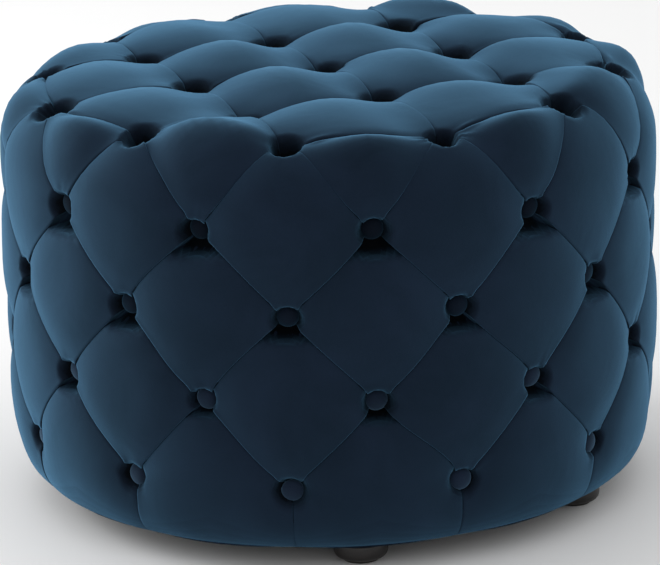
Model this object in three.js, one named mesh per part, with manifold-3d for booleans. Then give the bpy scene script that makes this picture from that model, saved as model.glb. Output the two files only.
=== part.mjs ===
// Round deep-buttoned footstool (tuffet), millimetres, +Z up, origin on the floor below the centre.
// The button pattern is laid out from -Y: a rim button sits at angle 0, and angles turn towards +X.
import * as THREE from 'three';
import { mergeVertices } from 'three/addons/utils/BufferGeometryUtils.js';
import Module from 'manifold-3d';

// ---- driving dimensions -------------------------------------------------------------------------
const N = 12;                                  // buttons in each ring
const GRID = 140;                              // spacing of the nine buttons on the top
const R_CREST = 330;                           // outer radius over the pillows
const R_BUTTON = 305;                          // radius of the cloth under a side button
const ROW_Z = [342.7, 259.9, 175.1, 86.9];     // heights of the side rows, from the top row down
const RIM_R = 275, RIM_Z = 392;                // cloth under a rim button
const TOP_Z = 440;                             // crest of the top pillows, which are crowned towards the middle
const TOP_DIP_Z = 386;                         // cloth under a top button
const COVER_T = 1.6;                           // velvet with its backing
const GAP = 0.3;                               // running clearance between pieces that touch
const HEM_Z = 21.6, HEM_R = 299, TURN_R = 272; // bottom of the cloth, where it turns under, its cut edge
const DRUM_R = 290, DRUM_T = 3;                // hardboard drum
const DECK_Z = [355, 370];                     // plywood deck
const BASE_Z = [23.5, 38.5], BASE_INNER_R = 225;
const RAIL_Z = [38.8, 58.8], RAIL_W = 44, RAIL_OFFSET = 130;
const POST = 35, POST_R = 250, POSTS = 6;
const FOOT_R = 26.5, FOOT_Z = [2.3, 20.1], FOOT_PITCH_R = 262;
const FRAME_TURN = 12.1;                       // the inner frame is turned this far from the button pattern
const FOOT_HALF_ANGLE = 29.7;                  // each foot stands this far either side of the rails' direction
const GLIDE_R = 18, GLIDE_T = 2;
const BUTTON_R = 11.3, BUTTON_H = 6.5;
const TWINE = 2.4, CHANNEL = 4;                // twine and the channel that it runs in (square sections)
const TWINE_RING_R = 284.6;
const LARGE = 24;                              // facets round a large circle, in step with the buttons
const SMALL = 8;                               // facets round a hole, bolt or screw

const velvet = new THREE.MeshStandardMaterial({ name: 'velvet', color: 0x16324a, roughness: 0.9, metalness: 0 });
const foamMat = new THREE.MeshStandardMaterial({ name: 'foam', color: 0xe8e2c8, roughness: 1, metalness: 0 });
const plywood = new THREE.MeshStandardMaterial({ name: 'plywood', color: 0xc9a877, roughness: 0.8, metalness: 0 });
const timber = new THREE.MeshStandardMaterial({ name: 'timber', color: 0xd2b183, roughness: 0.8, metalness: 0 });
const hardboard = new THREE.MeshStandardMaterial({ name: 'hardboard', color: 0x8a6240, roughness: 0.85, metalness: 0 });
const cambric = new THREE.MeshStandardMaterial({ name: 'cambric', color: 0x151515, roughness: 1, metalness: 0 });
const footMat = new THREE.MeshStandardMaterial({ name: 'foot_black', color: 0x1b1715, roughness: 0.5, metalness: 0 });
const steel = new THREE.MeshStandardMaterial({ name: 'steel', color: 0xb8b8bc, roughness: 0.35, metalness: 1 });
const glideMat = new THREE.MeshStandardMaterial({ name: 'glide', color: 0x2a2724, roughness: 0.9, metalness: 0 });

// ---- solids -------------------------------------------------------------------------------------
const wasm = await Module();
wasm.setup();
const toSolid = (geometry) => {
  const g = geometry.clone();
  for (const name of ['normal', 'uv']) if (g.getAttribute(name)) g.deleteAttribute(name);
  const merged = mergeVertices(g, 1e-4);
  return new wasm.Manifold(new wasm.Mesh({
    numProp: 3,
    vertProperties: new Float32Array(merged.attributes.position.array),
    triVerts: new Uint32Array(merged.index.array),
  }));
};
const toGeometry = (solid) => {
  const m = solid.getMesh();
  const g = new THREE.BufferGeometry();
  g.setAttribute('position', new THREE.BufferAttribute(new Float32Array(m.vertProperties), 3));
  g.setIndex(new THREE.BufferAttribute(new Uint32Array(m.triVerts), 1));
  return g;
};

const rad = THREE.MathUtils.degToRad;
const polar = (r, deg, z) => [r * Math.sin(rad(deg)), -r * Math.cos(rad(deg)), z];

// A ring or disc turned about +Z from [radius, height] points, anticlockwise, on the axis or closed.
const turned = (points, segments) => {
  const g = new THREE.LatheGeometry(points.map(([r, z]) => new THREE.Vector2(r, z)), segments);
  g.rotateX(Math.PI / 2);
  return g;
};
const disc = (r, z0, z1, segments) => turned([[0, z0], [r, z0], [r, z1], [0, z1]], segments);
const ring = (r0, r1, z0, z1, segments) => turned([[r0, z0], [r1, z0], [r1, z1], [r0, z1], [r0, z0]], segments);
// A square bar along the line from a to b.
const bar = (a, b, width) => {
  const from = new THREE.Vector3(...a), to = new THREE.Vector3(...b);
  const g = new THREE.BoxGeometry(width, width, from.distanceTo(to));
  const turn = new THREE.Quaternion().setFromUnitVectors(new THREE.Vector3(0, 0, 1), to.clone().sub(from).normalize());
  g.applyQuaternion(turn);
  g.translate(...from.add(to).multiplyScalar(0.5).toArray());
  return g;
};

// ---- the tufted outline, as plain facets ----------------------------------------------------------
// Every ring has 24 points, 15 degrees apart: even points lie under a rim button, odd ones between two.
const ANG = 15;
const tuftedSolid = (inset, bottomZ) => {
  const side = inset, drop = inset;
  const rings = [
    (i) => [HEM_R - side, bottomZ],
    (i) => [(i % 2 ? 321 : 316) - side, 44],
    (i) => [(i % 2 ? 328 : R_BUTTON) - side, ROW_Z[3]],
    (i) => [(i % 2 ? R_BUTTON : R_CREST) - side, ROW_Z[2]],
    (i) => [(i % 2 ? R_CREST : R_BUTTON) - side, ROW_Z[1]],
    (i) => [(i % 2 ? R_BUTTON : R_CREST) - side, ROW_Z[0]],
    (i) => [(i % 2 ? 321 : 318) - side, 386 - drop / 2],
    (i) => {
      if (i % 2 === 0) return [RIM_R - side, RIM_Z - drop];
      // four of the pillows on the rim run down the side in one piece, the other eight have a pleat along the rim
      return i % 6 === 3 ? [294 - side, TOP_Z - 22 - drop] : [288 - side, TOP_Z - 17 - drop];
    },
  ];
  const pts = [], tris = [];
  const add = (p) => pts.push(p) - 1;
  const idx = rings.map((f) => Array.from({ length: 24 }, (_, i) => {
    const [r, z] = f(i);
    return add(polar(r, i * ANG, z));
  }));
  for (let k = 0; k + 1 < idx.length; k++) {
    for (let i = 0; i < 24; i++) {
      const j = (i + 1) % 24, a = idx[k][i], b = idx[k][j], c = idx[k + 1][j], d = idx[k + 1][i];
      // the diagonal runs from button to button, so that it lies in the pleat
      const low = (k === 2 || k === 4) ? i % 2 === 0 : (k === 3 || k === 5 || k === 6) ? i % 2 === 1 : i % 2 === 0;
      if (low) tris.push([a, b, c], [a, c, d]);
      else tris.push([a, b, d], [b, c, d]);
    }
  }
  // bottom disc
  const centre = add([0, 0, bottomZ]);
  for (let i = 0; i < 24; i++) tris.push([centre, idx[0][(i + 1) % 24], idx[0][i]]);
  // top: nine button points, four full pillows with a level crest, twelve pillows that run out to the rim
  const rim = idx[7];
  const grid = {};
  for (const u of [-1, 0, 1]) for (const v of [-1, 0, 1]) grid[`${u},${v}`] = add([u * GRID, v * GRID, TOP_DIP_Z - drop]);
  const fan = (c, loop) => loop.forEach((p, k) => tris.push([c, p, loop[(k + 1) % loop.length]]));
  for (const u of [-1, 0]) {
    for (const v of [-1, 0]) {
      const corners = [grid[`${u},${v}`], grid[`${u + 1},${v}`], grid[`${u + 1},${v + 1}`], grid[`${u},${v + 1}`]];
      const cx = (u + 0.5) * GRID, cy = (v + 0.5) * GRID, h = 32;
      const flat = [[-h, -h], [h, -h], [h, h], [-h, h]].map(([x, y]) => add([cx + x, cy + y, TOP_Z - drop]));
      for (let k = 0; k < 4; k++) {
        const n = (k + 1) % 4;
        tris.push([corners[k], corners[n], flat[n]], [corners[k], flat[n], flat[k]]);
      }
      tris.push([flat[0], flat[1], flat[2]], [flat[0], flat[2], flat[3]]);
    }
  }
  for (let q = 0; q < 4; q++) {
    // quarter turns of the same three pillows
    const turn = (x, y) => [[x, y], [-y, x], [-x, -y], [y, -x]][q];
    const g = (u, v) => { const [x, y] = turn(u, v); return grid[`${x + 0},${y + 0}`.replace(/-0/g, '0')]; };
    const w = (i) => rim[(i + q * 6) % 24];
    const c = (x, y, z) => { const [px, py] = turn(x, y); return add([px, py, z - drop]); };
    fan(c(72, -205, TOP_Z - 5), [g(0, -1), w(0), w(1), w(2), g(1, -1)]);
    fan(c(178, -178, TOP_Z - 8), [g(1, -1), w(2), w(3), w(4)]);
    fan(c(205, -72, TOP_Z - 5), [g(1, -1), w(4), w(5), w(6), g(1, 0)]);
  }
  const geo = new THREE.BufferGeometry();
  geo.setAttribute('position', new THREE.BufferAttribute(new Float32Array(pts.flat()), 3));
  geo.setIndex(tris.flat());
  return toSolid(geo);
};

// ---- twine channels -----------------------------------------------------------------------------
const sideButtons = ROW_Z.map((z, row) => Array.from({ length: N }, (_, k) => ({ deg: k * 30 + (row % 2 ? 0 : ANG), z })));
const rimButtons = Array.from({ length: N }, (_, k) => k * 30);
const gridButtons = [];
for (const v of [-1, 0, 1]) for (const u of v === 0 ? [1, 0, -1] : [-1, 0, 1]) gridButtons.push([u * GRID, v * GRID]);

const union = (solids) => solids.reduce((a, b) => a.add(b));
const sideChannels = union(sideButtons.flat().map(({ deg, z }) => toSolid(bar(polar(270, deg, z), polar(340, deg, z), CHANNEL))));
const topChannels = union([
  ...rimButtons.map((deg) => toSolid(bar(polar(RIM_R, deg, 340), polar(RIM_R, deg, 450), CHANNEL))),
  ...gridButtons.map(([x, y]) => toSolid(bar([x, y, 340], [x, y, 450], CHANNEL))),
]);

// ---- cover and foam -------------------------------------------------------------------------------
const cover = tuftedSolid(0, HEM_Z)
  .subtract(tuftedSolid(COVER_T, HEM_Z + COVER_T))
  .subtract(toSolid(disc(TURN_R, 0, 30, LARGE)))
  .subtract(sideChannels)
  .subtract(topChannels);

const pad = tuftedSolid(COVER_T + GAP, HEM_Z + COVER_T + GAP).subtract(toSolid(disc(DRUM_R + GAP, 0, DECK_Z[1] + GAP, LARGE)));
const splitAt = DECK_Z[1];
const sideFoam = pad.subtract(toSolid(disc(400, splitAt, 500, SMALL))).subtract(sideChannels);
const topFoam = pad.subtract(toSolid(disc(400, 0, splitAt + GAP, SMALL))).subtract(topChannels);

// ---- hardboard drum: a sheet bent round, its ends meeting with a small gap at the back ------------
const drumGap = new THREE.BoxGeometry(4, 40, 500);
drumGap.translate(0, DRUM_R, 200);
drumGap.rotateZ(rad(7.5));
const drum = toSolid(ring(DRUM_R - DRUM_T, DRUM_R, BASE_Z[0], DECK_Z[1], LARGE))
  .subtract(sideChannels)
  .subtract(toSolid(drumGap));

// ---- inner frame ----------------------------------------------------------------------------------
const PANEL_R = DRUM_R - DRUM_T - GAP;
const framePoint = (r, deg, z) => polar(r, deg + FRAME_TURN, z);
const postAngles = Array.from({ length: POSTS }, (_, k) => k * 60);
const feetAngles = [-FOOT_HALF_ANGLE, FOOT_HALF_ANGLE, 180 - FOOT_HALF_ANGLE, 180 + FOOT_HALF_ANGLE];

// Wood screw with a countersunk head, its head at z = 0 and its point down.
const screwShape = (grow) => {
  const s = 2 + grow, h = 4.4 + grow, l = 48 + grow;
  return turned([[0, -l], [s, -l + 6], [s, -4.2], [h, -0.6], [h, 0], [0, 0]], SMALL);
};
// A screw driven down into the deck, or up into the base.
const deckScrew = (deg, grow) => screwShape(grow).translate(...framePoint(POST_R, deg, DECK_Z[1] - 0.4 + grow));
const baseScrew = (deg, grow) => screwShape(grow).rotateX(Math.PI).translate(...framePoint(POST_R, deg, BASE_Z[0] + 0.4 - grow));
const cut = (solid, geometries) => geometries.reduce((a, g) => a.subtract(toSolid(g)), solid);

const deck = cut(toSolid(disc(PANEL_R, DECK_Z[0], DECK_Z[1], LARGE)).subtract(topChannels),
  postAngles.map((a) => deckScrew(a, GAP + 0.1).translate(0, 0, 0.2)));

const boltHole = (deg, r, z0, z1) => disc(r, z0, z1, SMALL).translate(...framePoint(FOOT_PITCH_R, deg, 0));
const baseRing = cut(toSolid(ring(BASE_INNER_R, PANEL_R, BASE_Z[0], BASE_Z[1], LARGE)), [
  ...feetAngles.map((a) => boltHole(a, 4.7, 10, 80)),
  ...postAngles.map((a) => baseScrew(a, GAP + 0.1).translate(0, 0, -0.2)),
]);

const railBlank = (side) => {
  const g = new THREE.BoxGeometry(RAIL_W, 560, RAIL_Z[1] - RAIL_Z[0]);
  g.translate(side * RAIL_OFFSET, 0, (RAIL_Z[0] + RAIL_Z[1]) / 2);
  g.rotateZ(rad(FRAME_TURN));
  return toSolid(g).intersect(toSolid(disc(DRUM_R - DRUM_T - 4, 0, 100, LARGE)));
};
const rails = [-1, 1].map((side) => cut(railBlank(side), feetAngles.map((a) => boltHole(a, 6.0, 10, 80))));

const postSolid = (deg) => {
  const g = new THREE.BoxGeometry(POST, POST, DECK_Z[0] - BASE_Z[1] - 2 * GAP);
  g.rotateZ(rad(deg + FRAME_TURN));
  g.translate(...framePoint(POST_R, deg, (DECK_Z[0] + BASE_Z[1]) / 2));
  return cut(toSolid(g), [deckScrew(deg, GAP), baseScrew(deg, GAP)]);
};

// ---- buttons on their twine -----------------------------------------------------------------------
// A domed button, its flat back at z = 0.
const buttonHead = () => turned([[0, 0], [BUTTON_R, 1.2], [BUTTON_R * 0.72, 5], [0, BUTTON_H]], SMALL);
const aimed = (geometry, position, direction) => {
  geometry.applyQuaternion(new THREE.Quaternion().setFromUnitVectors(new THREE.Vector3(0, 0, 1), new THREE.Vector3(...direction).normalize()));
  return geometry.translate(...position);
};
const SIDE_LIFT = 3.9, TOP_LIFT = 11.6, RIM_LIFT = 6.2, RIM_TILT = 20;
const twineRing = (r, z, sides = N) => toSolid(ring(r - TWINE / 2, r + TWINE / 2, z - TWINE / 2, z + TWINE / 2, sides));

const sideRow = (row) => union([
  twineRing(TWINE_RING_R - 0.6, ROW_Z[row]).rotate([0, 0, row % 2 ? 0 : ANG]),
  ...sideButtons[row].flatMap(({ deg, z }) => [
    toSolid(bar(polar(TWINE_RING_R - 1.2, deg, z), polar(R_BUTTON + SIDE_LIFT + 1, deg, z), TWINE)),
    toSolid(aimed(buttonHead(), polar(R_BUTTON + SIDE_LIFT, deg, z), polar(1, deg, 0))),
  ]),
]);
const rimRow = () => union([
  twineRing(RIM_R, DECK_Z[0] - GAP - TWINE / 2, 2 * N),
  ...rimButtons.flatMap((deg) => {
    const tilt = [Math.sin(rad(deg)) * Math.sin(rad(RIM_TILT)), -Math.cos(rad(deg)) * Math.sin(rad(RIM_TILT)), Math.cos(rad(RIM_TILT))];
    const seat = polar(RIM_R + RIM_LIFT * Math.sin(rad(RIM_TILT)), deg, RIM_Z + RIM_LIFT * Math.cos(rad(RIM_TILT)));
    return [
      toSolid(bar(polar(RIM_R, deg, DECK_Z[0] - GAP - TWINE), polar(RIM_R, deg, RIM_Z + RIM_LIFT + 1.5), TWINE)),
      toSolid(aimed(buttonHead(), seat, tilt)),
    ];
  }),
]);
const topGroup = () => {
  const z = DECK_Z[0] - GAP - TWINE / 2;
  const parts = [];
  gridButtons.forEach(([x, y], k) => {
    parts.push(toSolid(bar([x, y, z - TWINE / 2], [x, y, TOP_DIP_Z + TOP_LIFT + 1], TWINE)));
    parts.push(toSolid(aimed(buttonHead(), [x, y, TOP_DIP_Z + TOP_LIFT], [0, 0, 1])));
    const next = gridButtons[k + 1];
    if (next) parts.push(toSolid(bar([x, y, z], [next[0], next[1], z], TWINE)));
  });
  return union(parts);
};

// ---- underside and feet -----------------------------------------------------------------------------
const DUST_Z = [20.4, 21.3];
const dust = cut(toSolid(disc(286, DUST_Z[0], DUST_Z[1], LARGE)), feetAngles.map((a) => boltHole(a, 5, 10, 40)));

const footShape = () => toSolid(turned([
  [0, FOOT_Z[0]], [GLIDE_R + 0.5, FOOT_Z[0]], [23.6, 4.2], [FOOT_R, 9], [FOOT_R, 18.6], [FOOT_R - 1.5, FOOT_Z[1]], [0, FOOT_Z[1]],
], 16)).subtract(toSolid(disc(4.7, 6, 40, SMALL)));
const boltShape = () => turned([[0, 6.3], [4, 6.3], [4, 66], [3.2, 67], [0, 67]], SMALL);
const teeNut = () => turned([[4.5, 47], [5.6, 47], [5.6, 59.1], [11, 59.1], [11, 60.6], [4.5, 60.6], [4.5, 47]], SMALL);

// ---- assembly ---------------------------------------------------------------------------------------
const tuffet = new THREE.Group();
const place = (name, geometry, material, parent = tuffet) => {
  const g = geometry.isBufferGeometry ? geometry : toGeometry(geometry);
  const mesh = new THREE.Mesh(g, material);
  mesh.name = name;
  parent.add(mesh);
  return mesh;
};

place('velvet_cover', cover, velvet);
place('top_foam', topFoam, foamMat);
place('side_foam', sideFoam, foamMat);
place('side_drum', drum, hardboard);
place('deck_panel', deck, plywood);
place('base_ring', baseRing, plywood);
place('base_rail_left', rails[0], timber);
place('base_rail_right', rails[1], timber);
postAngles.forEach((a, k) => {
  place(`post_${k + 1}`, postSolid(a), timber);
  place(`deck_screw_${k + 1}`, deckScrew(a, 0), steel);
  place(`base_screw_${k + 1}`, baseScrew(a, 0), steel);
});
ROW_Z.forEach((_, row) => place(`side_buttons_row_${row + 1}`, sideRow(row), velvet));
place('rim_buttons', rimRow(), velvet);
place('top_buttons', topGroup(), velvet);
place('dust_cover', dust, cambric);
feetAngles.forEach((a, k) => {
  const corner = new THREE.Group();
  corner.position.set(...framePoint(FOOT_PITCH_R, a, 0));
  tuffet.add(corner);
  place(`foot_${k + 1}`, footShape(), footMat, corner);
  place(`foot_bolt_${k + 1}`, boltShape(), steel, corner);
  place(`tee_nut_${k + 1}`, teeNut(), steel, corner);
  place(`foot_glide_${k + 1}`, disc(GLIDE_R, 0, GLIDE_T, 16), glideMat, corner);
});

export default tuffet;
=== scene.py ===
import math

import bmesh
import bpy
import numpy as np
from mathutils import Matrix, Quaternion, Vector


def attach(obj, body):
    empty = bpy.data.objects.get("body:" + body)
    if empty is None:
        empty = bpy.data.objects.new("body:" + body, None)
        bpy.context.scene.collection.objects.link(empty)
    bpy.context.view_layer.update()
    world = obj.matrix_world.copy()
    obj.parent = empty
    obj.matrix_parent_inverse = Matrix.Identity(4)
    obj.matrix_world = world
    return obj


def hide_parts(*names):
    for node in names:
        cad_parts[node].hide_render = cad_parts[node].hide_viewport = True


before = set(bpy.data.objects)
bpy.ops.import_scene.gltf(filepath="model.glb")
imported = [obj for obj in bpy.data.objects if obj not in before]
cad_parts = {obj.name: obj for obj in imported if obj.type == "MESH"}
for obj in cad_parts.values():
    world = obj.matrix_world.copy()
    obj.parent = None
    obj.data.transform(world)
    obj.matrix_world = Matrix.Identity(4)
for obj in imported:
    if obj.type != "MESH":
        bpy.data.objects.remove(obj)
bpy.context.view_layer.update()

# ---------------------------------------------------------------------------------------------
# Sizes, in millimetres, the same as the CAD model's. Angles start at -Y and turn towards +X.
# ---------------------------------------------------------------------------------------------
MM = 0.001
GRID = 140.0
ROW_Z = (342.7, 259.9, 175.1, 86.9)
CREST = 330.0                        # outer radius over the pillows
TOP_Z = 430.0                        # level of the plain top before the pad's crown is added
R_SEAT = 305.0                       # cloth under a side button
TOP_SEAT = 386.0                     # cloth under a top button
RIM_SEAT = (270.0, 386.0)            # cloth under a rim button
DECK_Z = (355.0, 370.0)
DRUM_R = 290.0
TWINE_R = 282.9
BUTTON_R, BUTTON_H = 11.3, 6.5
FRAME_TURN, HALF_ANGLE, FOOT_PITCH_R = 12.1, 29.7, 262.0

rng = np.random.default_rng(20)


def polar(r, deg, z):
    a = math.radians(deg)
    return np.array([r * math.sin(a), -r * math.cos(a), z])


# ---------------------------------------------------------------------------------------------
# The carrier: the smooth turned surface that the crests of all pillows touch
# ---------------------------------------------------------------------------------------------
PROFILE = np.array([
    (266, 21.9), (272, 21.8), (280, 21.8), (288, 22.3), (296, 24.2), (304, 28.6), (311, 36.0), (317, 46.5), (321.8, 61),
    (325.6, 80), (328.2, 105), (329.6, 135), (330, 170), (330, 215), (330, 260), (330, 300), (330, 330), (329.8, 351),
    (328.9, 367.5), (325.7, 380.5), (320.4, 391.7), (313.5, 402.2), (305, 411.6), (295.5, 419.2), (285.5, 424.7),
    (274, 428.4), (258, 429.8), (236, 430), (200, 430), (150, 430), (100, 430), (50, 430), (0, 430)], float)


def dense_profile(points, step=0.6):
    """Centripetal Catmull-Rom curve through the points, as close samples."""
    p = np.vstack([2 * points[0] - points[1], points, 2 * points[-1] - points[-2]])
    out = []
    for i in range(1, len(p) - 2):
        p0, p1, p2, p3 = p[i - 1:i + 3]
        t0 = 0.0
        t1 = t0 + np.linalg.norm(p1 - p0) ** 0.5
        t2 = t1 + np.linalg.norm(p2 - p1) ** 0.5
        t3 = t2 + np.linalg.norm(p3 - p2) ** 0.5
        n = max(2, int(np.linalg.norm(p2 - p1) / step))
        t = np.linspace(t1, t2, n, endpoint=False)[:, None]
        a1 = (t1 - t) / (t1 - t0) * p0 + (t - t0) / (t1 - t0) * p1
        a2 = (t2 - t) / (t2 - t1) * p1 + (t - t1) / (t2 - t1) * p2
        a3 = (t3 - t) / (t3 - t2) * p2 + (t - t2) / (t3 - t2) * p3
        b1 = (t2 - t) / (t2 - t0) * a1 + (t - t0) / (t2 - t0) * a2
        b2 = (t3 - t) / (t3 - t1) * a2 + (t - t1) / (t3 - t1) * a3
        out.append((t2 - t) / (t2 - t1) * b1 + (t - t1) / (t2 - t1) * b2)
    out.append(points[-1:])
    return np.vstack(out)


CURVE = dense_profile(PROFILE)
CURVE_T = np.gradient(CURVE, axis=0)
CURVE_T /= np.linalg.norm(CURVE_T, axis=1)[:, None]
CURVE_N = np.stack([CURVE_T[:, 1], -CURVE_T[:, 0]], 1)
HEM_S = int(np.argmin(np.linalg.norm(CURVE - np.array([300.0, 26.0]), axis=1)))


def carrier(p):
    """Nearest points of the carrier to p (K, 3), and its outward normals there."""
    p = np.asarray(p, float)
    r = np.hypot(p[:, 0], p[:, 1])
    z = p[:, 2]
    best = np.empty(len(p), int)
    for k in range(0, len(p), 4000):
        d = (CURVE[None, :, 0] - r[k:k + 4000, None]) ** 2 + (CURVE[None, :, 1] - z[k:k + 4000, None]) ** 2
        best[k:k + 4000] = np.argmin(d, axis=1)
    # slide along the curve's tangent for the part of a step that is left
    t = (r - CURVE[best, 0]) * CURVE_T[best, 0] + (z - CURVE[best, 1]) * CURVE_T[best, 1]
    t = np.clip(t, -0.4, 0.4)
    rr = CURVE[best, 0] + t * CURVE_T[best, 0]
    zz = CURVE[best, 1] + t * CURVE_T[best, 1]
    idx = np.clip(best + np.sign(t).astype(int), 0, len(CURVE) - 1)
    w = (np.abs(t) / 0.6)[:, None]
    nn = CURVE_N[best] * (1 - w) + CURVE_N[idx] * w
    nn /= np.linalg.norm(nn, axis=1)[:, None]
    safe = np.maximum(r, 1e-9)
    cx, cy = np.where(r > 1e-6, p[:, 0] / safe, 0.0), np.where(r > 1e-6, p[:, 1] / safe, 0.0)
    pos = np.stack([rr * cx, rr * cy, zz], 1)
    nrm = np.stack([nn[:, 0] * cx, nn[:, 0] * cy, nn[:, 1]], 1)
    nrm /= np.linalg.norm(nrm, axis=1)[:, None]
    return pos, nrm


def on_carrier(p):
    return carrier(np.asarray(p, float)[None])[0][0]


# ---------------------------------------------------------------------------------------------
# The button pattern and its pillows
# ---------------------------------------------------------------------------------------------
corners = {}     # name -> dict(pos, kind)


def add_corner(name, pos, kind):
    corners[name] = {"pos": on_carrier(pos), "kind": kind}


for k in range(12):
    add_corner(("r1", k), polar(CREST, 15 + 30 * k, ROW_Z[0]), "side")
    add_corner(("r2", k), polar(CREST, 30 * k, ROW_Z[1]), "side")
    add_corner(("r3", k), polar(CREST, 15 + 30 * k, ROW_Z[2]), "side")
    add_corner(("r4", k), polar(CREST, 30 * k, ROW_Z[3]), "side")
    add_corner(("rim", k), polar(RIM_SEAT[0], 30 * k, RIM_SEAT[1]), "rim")
    add_corner(("hem", k), polar(CURVE[HEM_S, 0], 30 * k, CURVE[HEM_S, 1]), "hem")
for u in (-1, 0, 1):
    for v in (-1, 0, 1):
        add_corner(("top", u, v), (u * GRID, v * GRID, TOP_Z), "top")

pillows = []
for k in range(12):
    n = (k + 1) % 12
    p = (k - 1) % 12
    pillows.append([("rim", k), ("r1", p), ("r2", k), ("r1", k)])
    pillows.append([("r1", k), ("r2", k), ("r3", k), ("r2", n)])
    pillows.append([("r2", k), ("r3", p), ("r4", k), ("r3", k)])
    pillows.append([("r3", k), ("r4", k), ("hem", k), ("hem", n), ("r4", n)])


def turn(u, v, q):
    return [(u, v), (-v, u), (-u, -v), (v, -u)][q]


for q in range(4):
    def g(u, v):
        return ("top",) + turn(u, v, q)

    def rim(i):
        return ("rim", (i + 3 * q) % 12)

    def r1(i):
        return ("r1", (i + 3 * q) % 12)

    # two of three rim pillows end in a pleat along the rim, with a triangle below it; the third runs down the side
    pillows.append([g(0, -1), rim(0), rim(1), g(1, -1)])
    pillows.append([rim(0), r1(0), rim(1)])
    pillows.append([g(1, -1), rim(1), r1(1), rim(2)])
    pillows.append([g(1, -1), rim(2), rim(3), g(1, 0)])
    pillows.append([rim(2), r1(2), rim(3)])
    pillows.append([g(0, 0), g(0, -1), g(1, -1), g(1, 0)])

# Pleats: the shared edges. Each has a bow, a depth and a side that folds over the other.
edges = {}


def edge_key(a, b):
    return (a, b) if repr(a) < repr(b) else (b, a)


def is_hem_edge(a, b):
    return a[0] == "hem" and b[0] == "hem"


for poly in pillows:
    for i, a in enumerate(poly):
        b = poly[(i + 1) % len(poly)]
        key = edge_key(a, b)
        if key in edges:
            continue
        pa, pb = corners[key[0]]["pos"], corners[key[1]]["pos"]
        t = np.linspace(0, 1, 61)
        line = pa[None] * (1 - t)[:, None] + pb[None] * t[:, None]
        pos, nrm = carrier(line)
        along = pb - pa
        perp = np.cross(nrm, along[None])
        perp /= np.linalg.norm(perp, axis=1)[:, None]
        hem = is_hem_edge(a, b)
        bow = 0.0 if hem else float(rng.normal(0, 1.3))
        if "hem" in (a[0], b[0]):
            bow *= 0.6
        s = 0.0 if hem else float(rng.normal(0, 0.9))
        pos, nrm = carrier(pos + perp * (bow * np.sin(np.pi * t) + s * np.sin(2 * np.pi * t))[:, None])
        mid = pos[30]
        up = perp[30].copy()
        kinds = {corners[key[0]]["kind"], corners[key[1]]["kind"]}
        if kinds == {"rim"}:
            want = np.array([-mid[0], -mid[1], 200.0])
        elif kinds <= {"top", "rim"}:
            want = np.array([0.45, 1.0, 0.0])
        elif "hem" in kinds:
            want = np.array([-mid[1], mid[0], 0.0]) * (1 if (key[0][1] + key[1][1]) % 4 < 2 else -1)
        else:
            want = np.array([0.0, 0.0, 1.0])
        if up @ want < 0:
            up = -up
        edges[key] = {"pos": pos, "up": up, "hem": hem, "kinds": kinds, "mid": mid, "length": float(np.linalg.norm(along)),
                      "crosswise": bool(abs(along[0]) >= abs(along[1])),
                      "depth": float(np.clip(rng.normal(1.0, 0.1), 0.75, 1.25))}


def half_edge(corner, other, grading):
    """Points on the pleat from a corner to its middle."""
    key = edge_key(corner, other)
    pts = edges[key]["pos"]
    if key[0] != corner:
        pts = pts[::-1]
    x = grading * 30.0
    i = np.minimum(x.astype(int), 59)
    f = (x - i)[:, None]
    return pts[i] * (1 - f) + pts[np.minimum(i + 1, 60)] * f


GRADE = np.array([0, .35, .9, 1.8, 3.2, 5.2, 7.6, 10.2, 12.9, 15.7, 18.6, 21.8, 25.5, 30, 36, 46, 58]) / 58.0
FOLD_CELLS = 2                       # rows of cells along a pleat that lie inside the fold and get its painted shade
# how far each pillow that runs over the rim swells, and how far from its middle, by its first rim button
FULLNESS = {1: (7.0, -26.0), 4: (6.0, 0.0), 7: (2.0, 0.0), 10: (11.5, 14.0)}
# how deep the dip is where such a pillow meets the pads on top, by rim button; elsewhere it is 1
SHALLOW = {11: 0.3, 10: 0.6, 1: 0.75, 2: 0.6, 4: 0.7, 5: 0.7, 7: 0.7, 8: 0.7}
# how far below a rim button each pleat to the side comes to life, by rim button and button of the first row
LATE = {(10, 10): 36.0, (10, 9): 40.0, (11, 10): 58.0}
COARSE = GRADE[::2]


def corner_patch(poly, i, centre, grading):
    """(n, n, 3) points of the quarter of a pillow next to its corner i."""
    c, nxt, prv = poly[i], poly[(i + 1) % len(poly)], poly[i - 1]
    e = half_edge(c, nxt, grading)
    l = half_edge(c, prv, grading)
    a = grading[:, None, None]
    b = grading[None, :, None]
    m1, m0, c0 = e[-1], l[-1], e[0]
    f = m0[None] * (1 - grading)[:, None] + centre[None] * grading[:, None]
    h = m1[None] * (1 - grading)[:, None] + centre[None] * grading[:, None]
    p = ((1 - b) * e[:, None] + b * f[:, None] + (1 - a) * l[None] + a * h[None]
         - ((1 - a) * (1 - b) * c0 + a * (1 - b) * m1 + (1 - a) * b * m0 + a * b * centre))
    return p


def polyline_distance(p, line):
    """Distance from each p to a polyline, and where along it (0 to 1) the nearest point is."""
    a, b = line[:-1], line[1:]
    ab = b - a
    l2 = (ab ** 2).sum(1)
    best = np.full(len(p), 1e9)
    where = np.zeros(len(p))
    for k in range(len(a)):
        t = np.clip(((p - a[k]) @ ab[k]) / l2[k], 0, 1)
        d = np.linalg.norm(p - (a[k] + t[:, None] * ab[k]), axis=1)
        closer = d < best
        best[closer] = d[closer]
        where[closer] = (k + t[closer]) / len(a)
    return best, where


# slow, gentle unevenness of hand work: a few long waves in random directions
WAVES = [(rng.normal(0, 1, 3), rng.uniform(0, 2 * math.pi)) for _ in range(14)]


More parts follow.
